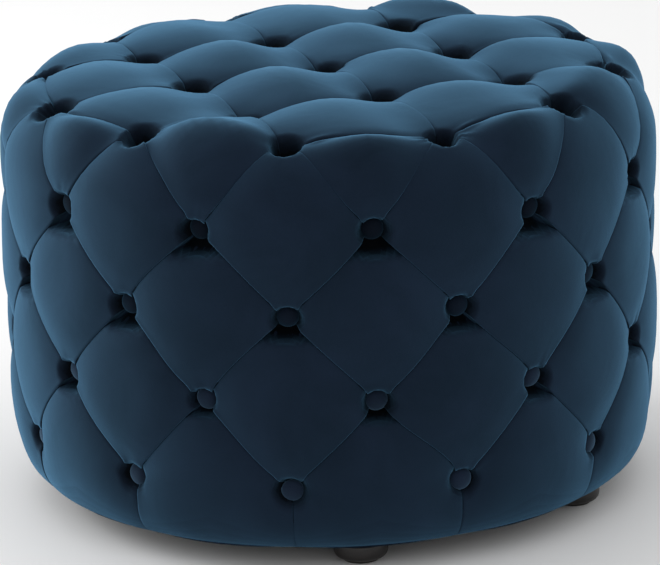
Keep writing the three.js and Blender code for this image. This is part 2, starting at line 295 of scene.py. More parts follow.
def unevenness(p, wavelength):
    out = np.zeros(len(p))
    for d, ph in WAVES:
        out += np.sin(p @ (d / np.linalg.norm(d)) * (2 * math.pi / wavelength) + ph)
    return out / math.sqrt(len(WAVES))


CREASE = 3.0                                           # depth of the fold line itself
VALLEY = {"side": (4.6, 16.0), "rim": (5.0, 15.0), "top": (12.5, 18.0)}     # depth and reach of the valley along a pleat
BASIN = {"side": (5.5, 30.0), "rim": (9.0, 34.0), "top": (5.5, 46.0)}     # wide dip round a button
WIDE = {0: (14.0, 46.0), 11: (13.0, 42.0), 10: (10.5, 36.0)}     # the same for the rim buttons that lie in wider dips


def basin(name):
    return WIDE[name[1]] if name[0] == "rim" and name[1] in WIDE else BASIN[corners[name]["kind"]]


# the pocket under a side button: where its lower lip begins and ends, and how much deeper than the button's seat it is
POCKET = {"r1": (20.5, 28.0, 8.0), "r2": (19.5, 27.0, 7.5), "r3": (16.5, 23.5, 5.0), "r4": (13.5, 20.5, 2.0)}
for name, c in corners.items():
    if c["kind"] == "hem":
        continue
    seat = {"side": CREST - R_SEAT, "top": TOP_Z - TOP_SEAT}.get(c["kind"])
    if seat is None:
        r = math.hypot(c["pos"][0], c["pos"][1])
        seat = math.hypot(r - RIM_SEAT[0], c["pos"][2] - RIM_SEAT[1])
    elif c["kind"] == "side":
        seat -= CREST - math.hypot(c["pos"][0], c["pos"][1])
    c["seat"] = seat
    c["cup"] = seat - {"side": CREASE + VALLEY["side"][0], "rim": 2.0, "top": CREASE + 2 * VALLEY["top"][0]}[c["kind"]] - basin(name)[0]
    c["wave"] = [(m, rng.uniform(0, 2 * math.pi), rng.normal(0, 1)) for m in (2, 3, 4, 5, 7)]
    c["tilt"] = rng.normal(0, 1, 2)
    c["size"] = rng.normal(1, 0.06)
    c["pull"] = np.clip(rng.normal(0, 0.8, 2), -1.6, 1.6)      # the dimple's centre beside the button's
    c["frame"] = None
    # two or three sharp gathers run away from a rim button, fewer and weaker ones from the others
    count = {"rim": 2, "side": 2, "top": 3}[c["kind"]]
    c["gathers"] = [(rng.uniform(-math.pi, math.pi), rng.uniform(0.6, 1.3)) for _ in range(count)]
corners[("r1", 10)]["pull"] = np.array([-3.4, -1.6])
corners[("rim", 10)]["pull"] = np.array([-3.2, 0.4])
corners[("rim", 0)]["size"] = corners[("rim", 11)]["size"] = 0.92
corners[("rim", 10)]["gathers"] = [(0.25, 0.7), (0.62, 1.2), (1.02, 1.2), (1.45, 0.6)]
corners[("rim", 9)]["gathers"] = [(2.75, 1.0), (3.2, 1.2), (-2.7, 0.8)]


def corner_frame(name):
    """Two directions in the surface at a corner, across and up, and its normal."""
    c = corners[name]
    if c["frame"] is None:
        _, n = carrier(c["pos"][None])
        n = n[0]
        up = np.array([0, 0, 1.0]) if c["kind"] != "top" else np.array([0.379, 0.925, 0.0])
        up = up - n * (up @ n)
        up /= np.linalg.norm(up)
        c["frame"] = (np.cross(up, n), up, n)
    return c["frame"]


def smooth(x, a, b):
    t = np.clip((x - a) / (b - a), 0, 1)
    return t * t * (3 - 2 * t)


def relief(poly, centre, p, n, layer):
    """Displaced points of one pillow: of the velvet ('face'), of the wadding's inner side ('back') or of the pad below
    ('foam'), and the painted shade of each point, darkest deep in a pit.
    """
    logs1 = np.zeros(len(p))
    logs2 = np.zeros(len(p))
    swell = np.ones(len(p))
    fast_swell = np.ones(len(p))
    bowl = np.zeros(len(p))
    on_top = any(name[0] == "top" for name in poly)
    w_sum = np.full(len(p), 1e-9)
    a1 = np.zeros(len(p))
    a2 = np.zeros(len(p))
    shift = np.zeros_like(p)
    step = np.zeros(len(p))
    for i, a in enumerate(poly):
        b = poly[(i + 1) % len(poly)]
        edge = edges[edge_key(a, b)]
        if edge["hem"]:
            continue
        d, t = polyline_distance(p, edge["pos"][::3])
        key = edge_key(a, b)
        k0, k1 = corners[key[0]]["kind"], corners[key[1]]["kind"]
        v0, reach0 = VALLEY[k0 if k0 != "hem" else "side"]
        v1, reach1 = VALLEY[k1 if k1 != "hem" else "side"]
        fade0 = 0.06 if k0 == "hem" else 1.0
        fade1 = 0.06 if k1 == "hem" else 1.0
        fade = fade0 * (1 - t) + fade1 * t
        valley = (v0 * fade0 * (1 - t) + v1 * fade1 * t) * edge["depth"]
        if {k0, k1} == {"rim", "top"}:
            valley = valley * SHALLOW.get(key[0][1] if k0 == "rim" else key[1][1], 1.0)
        reach = reach0 * (1 - t) + reach1 * t
        upper = (centre - edge["mid"]) @ edge["up"] > 0
        flat = edge["kinds"] <= {"top", "rim"} and edge["kinds"] != {"rim"}
        near_end = np.minimum(t, 1 - t) * edge["length"]
        crease = CREASE * fade
        # a pleat is sharp next to its buttons and pulled nearly flat half-way between them
        tight = np.exp(-(near_end / 24.0) ** 2)
        if flat:
            crease = crease * (0.04 + 0.96 * np.exp(-(near_end / 24.0) ** 2))
        elif edge["kinds"] == {"rim"}:
            crease = crease * (0.12 + 0.88 * np.exp(-(near_end / 38.0) ** 2))
        else:
            crease = crease * (0.4 + 0.6 * tight)
        if "rim" in (k0, k1) and "side" in (k0, k1):
            # the pleats that come up from the side die out well below the rim button
            from_rim = (t if k0 == "rim" else 1 - t) * edge["length"]
            pair = tuple(name[1] for name in sorted(key, reverse=True))
            alive = 1 - np.exp(-(from_rim / LATE.get(pair, 72.0)) ** 3)
            crease, valley = crease * alive, valley * (0.25 + 0.75 * alive)
        else:
            alive = 1.0
        e1 = np.exp(-d / (0.9 if flat else 0.55 if upper else 1.1))
        e2 = np.exp(-(d / reach) ** 1.3)
        if flat or (edge["kinds"] == {"rim"} and on_top):
            # the pads on top are round all the way from one pleat to the next
            half = polyline_distance(centre[None], edge["pos"][::3])[0][0]
            x = np.minimum(d / half, 1)
            sharp = 1.0 if edge["crosswise"] or edge["kinds"] == {"rim"} else np.exp(-(near_end / 32.0) ** 2)
            bowl += valley * (sharp * (1 - x) ** 2 + (1 - sharp) * (1 - x ** 2) ** 2)
            e2 = e2 * 1e-3
        logs1 += np.log(np.maximum(1 - e1, 1e-7))
        logs2 += np.log(np.maximum(1 - e2, 1e-7))
        swell *= 1 - np.exp(-(d / 20.0) ** 1.5)
        fast_swell *= 1 - np.exp(-(d / 13.0) ** 1.5)
        w = e2 + 1e-9
        w_sum += w
        a1 += w * crease
        a2 += w * valley
        if layer == "face":
            away = 1 - np.exp(-(d / 0.7) ** 2)
            if edge["kinds"] == {"rim"}:
                # a slot between two lips, close to one end of each pleat along the rim
                from_left = (t if (key[1][1] - key[0][1]) % 12 == 1 else 1 - t) * edge["length"]
                window = np.exp(-((from_left - 31.0) / 12.0) ** 2)
                step += window * (-5.0 * np.exp(-(d / 1.9) ** 2) + 1.6 * np.exp(-((d - 5.0) / 3.0) ** 2))
            elif not flat:
                step += (0.8 if upper else -0.7) * (0.3 + 0.7 * tight) * alive * fade * away * np.exp(-d / 7.0)
            if not flat:
                # the upper pillow's edge rolls over the pleat, and the crease runs in under it
                roll = (1.0 * np.exp(-(d / 0.45) ** 2) - 0.7 * (np.exp(-((d - 1.3) / 1.2) ** 2))) if upper else np.exp(-d / 0.9)
                shift += (1.1 * (0.25 + 0.75 * tight) * alive * fade * roll)[:, None] * edge["up"][None]
    a1 /= w_sum
    a2 /= w_sum
    # the pleats begin only a little way out from a rim button, at the ends of the lip below it
    for name in poly:
        if corners[name]["kind"] == "rim" and not on_top:
            near = np.exp(-(np.linalg.norm(p - corners[name]["pos"], axis=1) / 28.0) ** 2)
            a1 *= 1 - 0.92 * near
            a2 *= 1 - 0.8 * near
            bowl *= 1 - 0.8 * near
            step *= 1 - 0.8 * near ** 2
            shift *= (1 - 0.95 * near)[:, None]
    u1 = 1 - np.exp(logs1)
    u2 = 1 - np.exp(logs2)
    h = -a2 * u2 - bowl + step
    # the pillows that run over the rim are the fullest ones, and the short ones below a rim pleat swell up to it
    kinds = [name[0] for name in poly]
    if kinds.count("rim") == 2 and "r1" in kinds:
        mid = np.mean([corners[name]["pos"] for name in poly if name[0] == "rim"], axis=0)
        out = mid * [1, 1, 0] / math.hypot(mid[0], mid[1])
        along = np.array([-out[1], out[0], 0.0])
        if "top" in kinds:
            amount, aside = FULLNESS[min(name[1] for name in poly if name[0] == "rim")]
            q = p - (out * 285.0 + along * aside + np.array([0, 0, 425.0]))
            s = q @ along
            v = np.linalg.norm(q - s[:, None] * along[None], axis=1)
            h += amount * np.exp(-(s / 60.0) ** 4 - (v / 30.0) ** 2) * fast_swell
        else:
            front = out @ np.array([-0.379, -0.925, 0.0]) > 0.3
            amount, middle = (11.5, out * 293.0 + np.array([0, 0, 420.0])) if front else (6.0, out * 305.0 + np.array([0, 0, 411.0]))
            q = p - middle
            s = q @ along
            v = np.linalg.norm(q - s[:, None] * along[None], axis=1)
            h += amount * np.exp(-(s / 44.0) ** 2 - (v / 34.0) ** 2) * fast_swell
    if on_top and "r1" not in kinds:
        # the pads lie a little over one another, from left to right
        right = np.array([0.925, -0.379, 0.0])
        h -= 3.0 * np.clip((p - centre) @ right / 55.0, -1, 1) * swell
    h += -a1 * u1 if layer == "face" else -(a1 + {"back": 2.2, "foam": 2.7}[layer])
    # painted shade: how dark the cloth is painted at each point, strongest in the pits round the buttons
    shade = np.zeros(len(p))
    for name in poly:
        c = corners[name]
        if c["kind"] == "hem":
            continue
        across, up, cn = corner_frame(name)
        q = p - c["pos"]
        x, y = q @ across - c["pull"][0], q @ up - c["pull"][1]
        d = np.hypot(x, y)
        rise = y / np.maximum(d, 1e-6)
        if c["kind"] == "side":
            # the pillow below a side button leaves a pocket under it, dark from its own shadow and from painted shade
            to = centre - c["pos"]
            below = float(-(to @ up) / np.linalg.norm(to))
            inner = 9.0 + 1.6 * np.maximum(rise, 0)
            outer = 18.5 - 3.0 * np.maximum(rise, 0)
        elif c["kind"] == "rim":
            # narrower along the rim, with a longer slope on the side of the top
            inner, outer = 10.0, 18.0 + 3.5 * rise ** 2 + 3.0 * np.maximum(-rise, 0) + 5.5 * np.maximum(rise, 0)
        else:
            inner, outer = 9.0, 24.0
        outer = outer * c["size"] + (1.5 if layer == "foam" else 0.0)
        depth, reach = basin(name)
        wide = 1 - 0.75 * np.maximum(-rise, 0) if c["kind"] == "rim" else 1.0
        h -= depth * wide * np.exp(-(d / reach) ** 1.5)
        hollow = 1 - smooth(d, inner, outer)
        if c["kind"] == "side" and below > 0.5:
            lip, end, deeper = POCKET[name[0]]
            down = np.hypot(y, 0.55 * x)
            pocket = (1 - smooth(down, lip * c["size"], end * c["size"] + (1.5 if layer == "foam" else 0.0))) * smooth(-y, -2, 6)
            hollow = np.maximum(hollow, pocket)
            h -= deeper * pocket * smooth(-y, 6, 13)
        h -= c["cup"] * hollow
        # the painted shade spreads a little beyond the pit's own slope
        painted_pit_shade = 1 - smooth(d, 0.5 * outer, 1.15 * outer)
        if c["kind"] == "side":
            painted_pit_shade = np.maximum(painted_pit_shade, hollow)
        shade = np.maximum(shade, np.clip(painted_pit_shade * 1.15, 0, 1))
        if layer == "foam":
            h -= 2.5 * np.exp(-(d / 26.0) ** 2)
            if c["kind"] == "side":
                h -= (4.0 + POCKET[name[0]][2]) * np.exp(-((x / 25.0) ** 2 + ((y + 15.0) / 18.0) ** 2) ** 1.5)
        if layer == "face" and c["kind"] == "side" and below < -0.5:
            # the pillow above hangs a little over the button
            shift -= (2.6 * np.exp(-((d - 13.5) / 4.5) ** 2))[:, None] * up[None]
        if layer == "face":
            ang = np.arctan2(y, x)
            wave = sum(amp * np.cos(m * ang + ph) for m, ph, amp in c["wave"]) / 2.4
            size = {"side": 0.5, "rim": 0.9, "top": 0.7}[c["kind"]]
            h += size * wave * smooth(d, 6, 13) * np.exp(-np.maximum(d - 13, 0) / 9)
            for direction, strength in c["gathers"]:
                off = np.abs((ang - direction + math.pi) % (2 * math.pi) - math.pi) * d
                size = {"side": 0.5, "rim": 1.7, "top": 0.8}[c["kind"]]
                ridge = np.exp(-(off / 1.5) ** 2) - 0.8 * np.exp(-((off - 3.4) / 1.8) ** 2)
                h += size * strength * ridge * smooth(d, 7, 15) * np.exp(-np.maximum(d - 15, 0) / 11)
    if layer == "face":
        h += 0.5 * unevenness(p, 170) + 0.22 * unevenness(p[:, [1, 2, 0]], 62)
    out = p + n * h[:, None] + shift
    # nothing is pressed into the drum
    least = {"face": 295.6, "back": 292.9, "foam": 291.3}[layer]
    r = np.hypot(out[:, 0], out[:, 1])
    push = np.where((out[:, 2] < 369) & (r < least) & (r > 250), least / np.maximum(r, 1e-6), 1.0)
    out[:, :2] *= push[:, None]
    return lean(out), shade


def lean(co):
    """The top pad is crowned, and a little thicker on one side, which lifts the crests there."""
    co = np.array(co, float)
    across = co[..., 0] * math.cos(math.radians(22.3)) - co[..., 1] * math.sin(math.radians(22.3))
    crown = 11.0 * (1 - smooth(np.hypot(co[..., 0], co[..., 1]), 100, 290))
    co[..., 2] += (5.0 + crown + 0.0135 * across) * smooth(co[..., 2], 368, 418)
    return co


def fold_reach(corner, other):
    """How much of the half of a pleat next to this corner is a sharp fold, painted in the darker fold copy of the
    velvet.
    """
    edge = edges[edge_key(corner, other)]
    if edge["hem"]:
        return 0.0
    if edge["kinds"] <= {"top", "rim"}:
        return 0.24
    if "hem" in edge["kinds"]:
        return 0.0 if corner[0] == "hem" else 0.8
    if edge["kinds"] == {"rim", "side"}:
        rim, side = sorted((corner, other), reverse=True)
        if LATE.get((rim[1], side[1]), 72.0) > 50.0:
            return 0.0 if corner == rim else 0.62
        return 0.0 if corner == rim else 2.0
    return 2.0


def build_surface(grading, layer):
    """Welded vertices, the faces of all pillows, which faces take the painted shade of a fold or of the hem, the
    vertices along the hem, and the painted shade of each vertex in a pit.
    """
    n = len(grading)
    last = n - 1
    faces, folds, keys = [], [], {}
    sums, counts, shades = [], [], []
    for pi, poly in enumerate(pillows):
        size = len(poly)
        if poly[-1][0] == "r4" and poly[0][0] == "r3":
            centre = on_carrier(np.mean([corners[c]["pos"] for c in (poly[1], poly[4], poly[0])], axis=0) + np.array([0, 0, -18.0]))
        else:
            centre = on_carrier(np.mean([corners[c]["pos"] for c in poly], axis=0))
        raw = np.vstack([corner_patch(poly, i, centre, grading).reshape(-1, 3) for i in range(size)])
        pos, nrm = carrier(raw)
        out, shade = relief(poly, centre, pos, nrm, layer)
        for i in range(size):
            c, after, before = poly[i], poly[(i + 1) % size], poly[i - 1]
            ids = np.empty((n, n), int)
            for j in range(n):
                for k in range(n):
                    if j == 0 and k == 0:
                        key = ("corner", c)
                    elif k == 0:
                        key = ("middle", edge_key(c, after)) if j == last else ("edge", edge_key(c, after), c, j)
                    elif j == 0:
                        key = ("middle", edge_key(c, before)) if k == last else ("edge", edge_key(c, before), c, k)
                    elif j == last and k == last:
                        key = ("centre", pi)
                    elif j == last:
                        key = ("half", pi, i, k)
                    elif k == last:
                        key = ("half", pi, (i - 1) % size, j)
                    else:
                        key = (pi, i, j, k)
                    at = i * n * n + j * n + k
                    got = keys.get(key)
                    if got is None:
                        got = len(sums)
                        keys[key] = got
                        sums.append(out[at].copy())
                        counts.append(1)
                        shades.append(shade[at])
                    else:
                        sums[got] += out[at]
                        counts[got] += 1
                        shades[got] = max(shades[got], shade[at])
                    ids[j, k] = got
            # a pleat on top can only be seen near its buttons, so only there does it get the painted shade of a fold;
            # along the hem there is none
            reach_after, reach_before = (fold_reach(c, o) for o in (after, before))
            hem_after, hem_before = edges[edge_key(c, after)]["hem"], edges[edge_key(c, before)]["hem"]
            for j in range(last):
                for k in range(last):
                    # the order puts the quad's diagonal across the slope of the pits
                    faces.append([ids[j + 1, k], ids[j + 1, k + 1], ids[j, k + 1], ids[j, k]])
                    wide_k, wide_j = (FOLD_CELLS if grading[j] < 0.4 else 1), (FOLD_CELLS if grading[k] < 0.4 else 1)
                    zone = int((k < wide_k and grading[j] < reach_after) or (j < wide_j and grading[k] < reach_before))
                    # painted shade towards the hem: the rows nearest it take the copies of the velvet with the least
                    # sheen
                    if hem_after or hem_before:
                        row = k if hem_after else j
                        zone = 2 if row < 7 else 3 if row < 9 else 4 if row < 11 else 5 if row < 13 else zone
                    folds.append(zone)
    hem = []
    for k in range(12):
        a, b = ("hem", k), ("hem", (k + 1) % 12)
        e = edge_key(a, b)
        hem.append(keys[("corner", a)])
        hem += [keys[("edge", e, a, j)] for j in range(1, last)]
        hem.append(keys[("middle", e)])
        hem += [keys[("edge", e, b, j)] for j in range(last - 1, 0, -1)]
    return np.array(sums) / np.array(counts)[:, None], faces, folds, np.array(hem), np.array(shades)


def mesh_object(name, co, faces, smooth_shade=True, scale=MM):
    me = bpy.data.meshes.new(name)
    me.from_pydata((np.asarray(co) * scale).tolist(), [], [list(map(int, f)) for f in faces])
    me.update()
    if smooth_shade:
        me.polygons.foreach_set("use_smooth", [True] * len(me.polygons))
    ob = bpy.data.objects.new(name, me)
    bpy.context.scene.collection.objects.link(ob)
    return ob


def fix_normals(ob):
    bm = bmesh.new()
    bm.from_mesh(ob.data)
    bmesh.ops.recalc_face_normals(bm, faces=bm.faces)
    bm.to_mesh(ob.data)
    bm.free()
    ob.data.update()


def angles(co):
    return np.arctan2(co[:, 0], -co[:, 1])


PIT_SHADE_STEPS = (0.1, 0.2, 0.3, 0.42, 0.55, 0.68, 0.8)      # how deep in a pit each grade of painted shade begins: copies of the velvet with less sheen
PIT_SHADE_SLOTS = np.array([0, 1, 7, 6, 5, 4, 2, 3])


def grade_of(ids, shades):
    """The grade of painted shade on one face: the same all along a strip that runs across the slope of a pit."""
    values = shades[list(ids)]
    return int(np.digitize((values.max() + values.min()) / 2, PIT_SHADE_STEPS))


def part_slopes(faces, zones, shades):
    """Parts the quads on the slopes of the pits along their diagonals, and says which slot, and so which grade of
    painted shade, each face takes.
    """
    out, slots = [], []
    for f, zone in zip(faces, zones):
        if zone:
            out.append(f)
            slots.append(zone + 2)
            continue
        far, near = [f[0], f[1], f[2]], [f[0], f[2], f[3]]
        a, b = grade_of(far, shades), grade_of(near, shades)
        if a == b:
            out.append(f)
            slots.append(PIT_SHADE_SLOTS[a])
        else:
            out += [far, near]
            slots += [PIT_SHADE_SLOTS[a], PIT_SHADE_SLOTS[b]]
    return out, slots


def make_cover():
    face, face_faces, folds, ring, shades = build_surface(GRADE, "face")
    face_faces, face_slots = part_slopes(face_faces, folds, shades)
    back, back_faces, _, inner, _ = build_surface(COARSE, "back")
    co = [face, back]
    offset = len(face)
    faces = [list(f) for f in face_faces] + [[v + offset for v in reversed(f)] for f in back_faces]
    ang, inner_ang = angles(face[ring]), angles(back[inner])
    inner = inner + offset
    hem_point = np.stack([CURVE[HEM_S, 0] * np.sin(ang), -CURVE[HEM_S, 0] * np.cos(ang), np.full(len(ang), CURVE[HEM_S, 1])], 1)
    # turned under: rows from the hem inwards along the carrier's bottom, with small gathers
    turn_idx = np.linspace(HEM_S, int(np.argmin(np.abs(CURVE[:, 0] - 272.0) + np.abs(CURVE[:, 1] - 21.8))), 7).astype(int)[1:]
    lift = face[ring] - hem_point
    rows = [ring]
    total = offset + len(back)
    for m, s in enumerate(turn_idx):
        fade = (1 - (m + 1) / len(turn_idx)) ** 1.5
        r = np.full(len(ring), CURVE[s, 0])
        z = np.full(len(ring), CURVE[s, 1])
        gather = 0.35 * np.cos(ang * 60 + 3 * np.sin(ang * 7)) * (1 - fade) * min(1.0, m / 2)
        pts = np.stack([r * np.sin(ang), -r * np.cos(ang), z + gather * 0.5 - 0.1], 1) + lift * fade
        # the cut edge lies on the dust cover
        over = np.hypot(pts[:, 0], pts[:, 1]) < 287.0
        pts[over, 2] = np.maximum(pts[over, 2], 21.42)
        co.append(pts)
        rows.append(np.arange(total, total + len(ring)))
        total += len(ring)
    for a, b in zip(rows[:-1], rows[1:]):
        for i in range(len(a)):
            j = (i + 1) % len(a)
            faces.append([a[i], b[i], b[j], a[j]])
    # up through the cut edge, and back out to the inner side of the wadding
    last = rows[-1]
    up = np.stack([272.0 * np.sin(ang), -272.0 * np.cos(ang), np.full(len(ang), 23.3)], 1)
    co.append(up)
    up_ids = np.arange(total, total + len(ring))
    total += len(ring)
    for i in range(len(last)):
        j = (i + 1) % len(last)
        faces.append([last[i], up_ids[i], up_ids[j], last[j]])
    mids = []
    for r in (284.0, 290.8):
        co.append(np.stack([r * np.sin(inner_ang), -r * np.cos(inner_ang), np.full(len(inner_ang), 23.3)], 1))
        mids.append(np.arange(total, total + len(inner_ang)))
        total += len(inner_ang)
    # from the fine ring to the coarse one: two fine steps to each coarse step
    near = [2 * i for i in range(len(inner))]
    m0 = mids[0]
    for i in range(len(m0)):
        j = (i + 1) % len(m0)
        start, end = near[i], near[j]
        fine = []
        k = start
        while True:
            fine.append(up_ids[k])
            if k == end:
                break
            k = (k + 1) % len(up_ids)
        faces.append(fine + [m0[j], m0[i]])
    for a, b in zip([mids[0], mids[1]], [mids[1], inner]):
        for i in range(len(a)):
            j = (i + 1) % len(a)
            faces.append([a[i], a[j], b[j], b[i]])
    ob = mesh_object("tufted_velvet_cover", np.vstack(co), faces)
    slots = np.zeros(len(ob.data.polygons), int)
    # slots: open cloth, two grades of painted shade for the pits, the painted shade of the folds, then four grades of
    # painted shade for the hem and the pits, copies of the velvet with less sheen
    slots[:] = 4
    slots[:len(face_slots)] = face_slots
    ob.data.polygons.foreach_set("material_index", slots)
    # painted shade: each vertex's pit shade goes to the velvet materials as the pit attribute, which darkens their base
    # colour
    pit = np.zeros(len(ob.data.vertices), np.float32)
    pit[:len(shades)] = shades
    ob.data.attributes.new("pit", "FLOAT", "POINT").data.foreach_set("value", pit)
    fix_normals(ob)
    return ob


# ---------------------------------------------------------------------------------------------
# Buttons: domes covered in the same cloth, on their twine
# ---------------------------------------------------------------------------------------------
BUTTON_PROFILE = [(0, -0.6), (6.5, -0.6), (9.4, -0.2), (10.7, 0.4), (11.3, 1.3), (11.15, 2.4), (10.4, 3.8), (9.0, 5.1),
                  (7.0, 6.2), (4.6, 6.95), (2.2, 7.3), (0, 7.4)]


def add_button(co, faces, pos, normal, seed):
    local = np.random.default_rng(seed)
    n = np.asarray(normal, float)
    n /= np.linalg.norm(n)
    side = np.cross(n, [0, 0, 1.0])
    if np.linalg.norm(side) < 0.2:
        side = np.cross(n, [0, 1.0, 0])
    side /= np.linalg.norm(side)
    up = np.cross(side, n)
    seg = 36
    start = len(co)
    ph = local.uniform(0, 6.28, 3)
    size = local.normal(1.0, 0.012)
    squash = local.normal(0, 0.02)
    for k, (r, z) in enumerate(BUTTON_PROFILE):
        if r == 0:
            co.append(pos + n * z)
            continue
        for s in range(seg):
            a = 2 * math.pi * s / seg
            edge = max(0.0, 1 - abs(z - 0.6) / 2.2)
            gather = 0.22 * edge * math.cos(9 * a + ph[0]) + 0.12 * edge * math.cos(5 * a + ph[1])
            rr = (r + gather) * size * (1 + squash * math.cos(2 * a + ph[2]))
            zz = z + 0.10 * math.cos(2 * a + ph[1]) * (r / 11.3)
            co.append(pos + side * rr * math.cos(a) + up * rr * math.sin(a) + n * zz)
    rings = len(BUTTON_PROFILE) - 2
    first, last = start, start + 1 + rings * seg
    for s in range(seg):
        t = (s + 1) % seg
        faces.append([first, start + 1 + t, start + 1 + s])
        faces.append([last, start + 1 + (rings - 1) * seg + s, start + 1 + (rings - 1) * seg + t])
        for k in range(rings - 1):
            a = start + 1 + k * seg
            b = a + seg
            faces.append([a + s, a + t, b + t, b + s])


def add_tube(co, faces, path, radius, seg=8, closed=False):
    path = [np.asarray(p, float) for p in path]
    start = len(co)
    m = len(path)
    for i, p in enumerate(path):
        if closed:
            t = path[(i + 1) % m] - path[i - 1]
        else:
            t = path[min(i + 1, m - 1)] - path[max(i - 1, 0)]
        t = t / np.linalg.norm(t)
        ref = np.array([0, 0, 1.0]) if abs(t[2]) < 0.9 else np.array([1.0, 0, 0])
        x = np.cross(ref, t)
        x /= np.linalg.norm(x)
        y = np.cross(t, x)
        for s in range(seg):
            a = 2 * math.pi * s / seg
            co.append(p + radius * (math.cos(a) * x + math.sin(a) * y))
    for i in range(m if closed else m - 1):
        a, b = start + i * seg, start + ((i + 1) % m) * seg
        for s in range(seg):
            t = (s + 1) % seg
            faces.append([a + s, a + t, b + t, b + s])
    if not closed:
        faces.append([start + s for s in range(seg)][::-1])
        faces.append([start + (m - 1) * seg + s for s in range(seg)])


def button_piece(name, node, spots, rings):
    """spots: (place of the button's back, direction, twine path)."""
    co, faces = [], []
    for seed, (pos, normal, path) in enumerate(spots):
        add_button(co, faces, np.asarray(pos, float), normal, 1000 + 97 * seed + len(name))
        add_tube(co, faces, path, 1.0, 8)
    for path, closed in rings:
        add_tube(co, faces, path, 1.1, 8, closed)
    ob = mesh_object(name, co, faces)
    fix_normals(ob)
    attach(ob, "root")
    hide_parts(node)
    return ob


def make_buttons(dark, plain, light):
    made = []
    for row in range(4):
        spots = []
        for k in range(12):
            deg = 30 * k + (0 if row % 2 else 15)
            c = corners[(f"r{row + 1}", k)]
            across, up, n = corner_frame((f"r{row + 1}", k))
            out = polar(1.0, deg, 0)
            tilt = out + 0.05 * c["tilt"][0] * across + (0.05 * c["tilt"][1] - 0.04) * up
            back = polar(R_SEAT + 3.4, deg, ROW_Z[row])
            spots.append((back, tilt, [polar(TWINE_R, deg, ROW_Z[row]), back]))
        ring = [polar(TWINE_R, 5 * i, ROW_Z[row]) for i in range(72)]
        made.append(button_piece(f"covered_buttons_side_row_{row + 1}", f"side_buttons_row_{row + 1}", spots, [(ring, True)]))
    spots = []
    for k in range(12):
        across, up, n = corner_frame(("rim", k))
        c = corners[("rim", k)]
        tilt = n + 0.06 * c["tilt"][0] * across + 0.06 * c["tilt"][1] * up
        seat = lean(polar(RIM_SEAT[0], 30 * k, RIM_SEAT[1]))
        spots.append((seat + 3.4 * n, tilt, [polar(275.0, 30 * k, 353.6), polar(275.0, 30 * k, 385.0), seat + 3.4 * n]))
    ring = [polar(275.0, 5 * i, 353.6) for i in range(72)]
    made.append(button_piece("covered_buttons_rim", "rim_buttons", spots, [(ring, True)]))
    spots, path = [], []
    for v in (-1, 0, 1):
        for u in ((1, 0, -1) if v == 0 else (-1, 0, 1)):
            c = corners[("top", u, v)]
            back = lean(np.array([u * GRID, v * GRID, TOP_SEAT])) + np.array([0, 0, 3.6])
            spots.append((back, np.array([0.06 * c["tilt"][0], 0.06 * c["tilt"][1], 1.0]), [(u * GRID, v * GRID, 353.6), back]))
            path.append(np.array([u * GRID, v * GRID, 353.6]))
    made.append(button_piece("covered_buttons_top", "top_buttons", spots, [(path, False)]))
    for ob in made:
        # painted shade on the buttons of rows 1 and 2 and the rim and top, painted light on rows 3 and 4
        ob.data.materials.append(light if ob.name[-1] in "34" else plain if ob.name[-1] == "2" else dark)
    return made


# ---------------------------------------------------------------------------------------------
# Foam: a pad over the deck and a band round the drum, pressed to the shape of the tufting
# ---------------------------------------------------------------------------------------------
def make_foam(material):
    co, faces, _, ring, _ = build_surface(COARSE, "foam")
    ang = angles(co[ring])
    parts = [co]
    total = len(co)
    previous = ring
    for r, z in ((294.0, 25.6), (290.4, 25.6), (290.4, 120.0), (290.4, 240.0), (290.4, 370.3)):
        parts.append(np.stack([r * np.sin(ang), -r * np.cos(ang), np.full(len(ang), z)], 1))
        ids = np.arange(total, total + len(ang))
        total += len(ang)
        faces += [[previous[i], ids[i], ids[(i + 1) % len(ang)], previous[(i + 1) % len(ang)]] for i in range(len(ang))]
        previous = ids
    parts.append(np.array([[0.0, 0.0, 370.3]]))
    faces += [[previous[i], total, previous[(i + 1) % len(ang)]] for i in range(len(ang))]
    whole = mesh_object("foam_whole", np.vstack(parts), faces)
    fix_normals(whole)
    made = []
    for name, cut_z, above, node_name in (("top_foam_pad", 370.5, True, "top_foam"), ("side_foam_band", 370.0, False, "side_foam")):
        bm = bmesh.new()
        bm.from_mesh(whole.data)
        got = bmesh.ops.bisect_plane(bm, geom=bm.verts[:] + bm.edges[:] + bm.faces[:], plane_co=(0, 0, cut_z * MM),
                                     plane_no=(0, 0, 1), clear_inner=above, clear_outer=not above)
        rim_edges = [e for e in bm.edges if e.is_boundary]
        bmesh.ops.triangle_fill(bm, edges=rim_edges, use_beauty=True, use_dissolve=False)
        bmesh.ops.recalc_face_normals(bm, faces=bm.faces)
        me = bpy.data.meshes.new(name)
        bm.to_mesh(me)
        bm.free()
        me.polygons.foreach_set("use_smooth", [True] * len(me.polygons))
        ob = bpy.data.objects.new(name, me)
        bpy.context.scene.collection.objects.link(ob)
        me.materials.append(material)
        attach(ob, "root")
        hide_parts(node_name)
        made.append(ob)
    bpy.data.objects.remove(whole)
    return made


# ---------------------------------------------------------------------------------------------
# Materials
# ---------------------------------------------------------------------------------------------
def new_material(name):
    m = bpy.data.materials.new(name)
    m.use_nodes = True
    nt = m.node_tree
    bsdf = nt.nodes["Principled BSDF"]
    return m, nt, bsdf


def node(nt, kind, **values):
    n = nt.nodes.new(kind)
    for k, v in values.items():
        if k in n.inputs:
            n.inputs[k].default_value = v
        else:
            setattr(n, k, v)
    return n


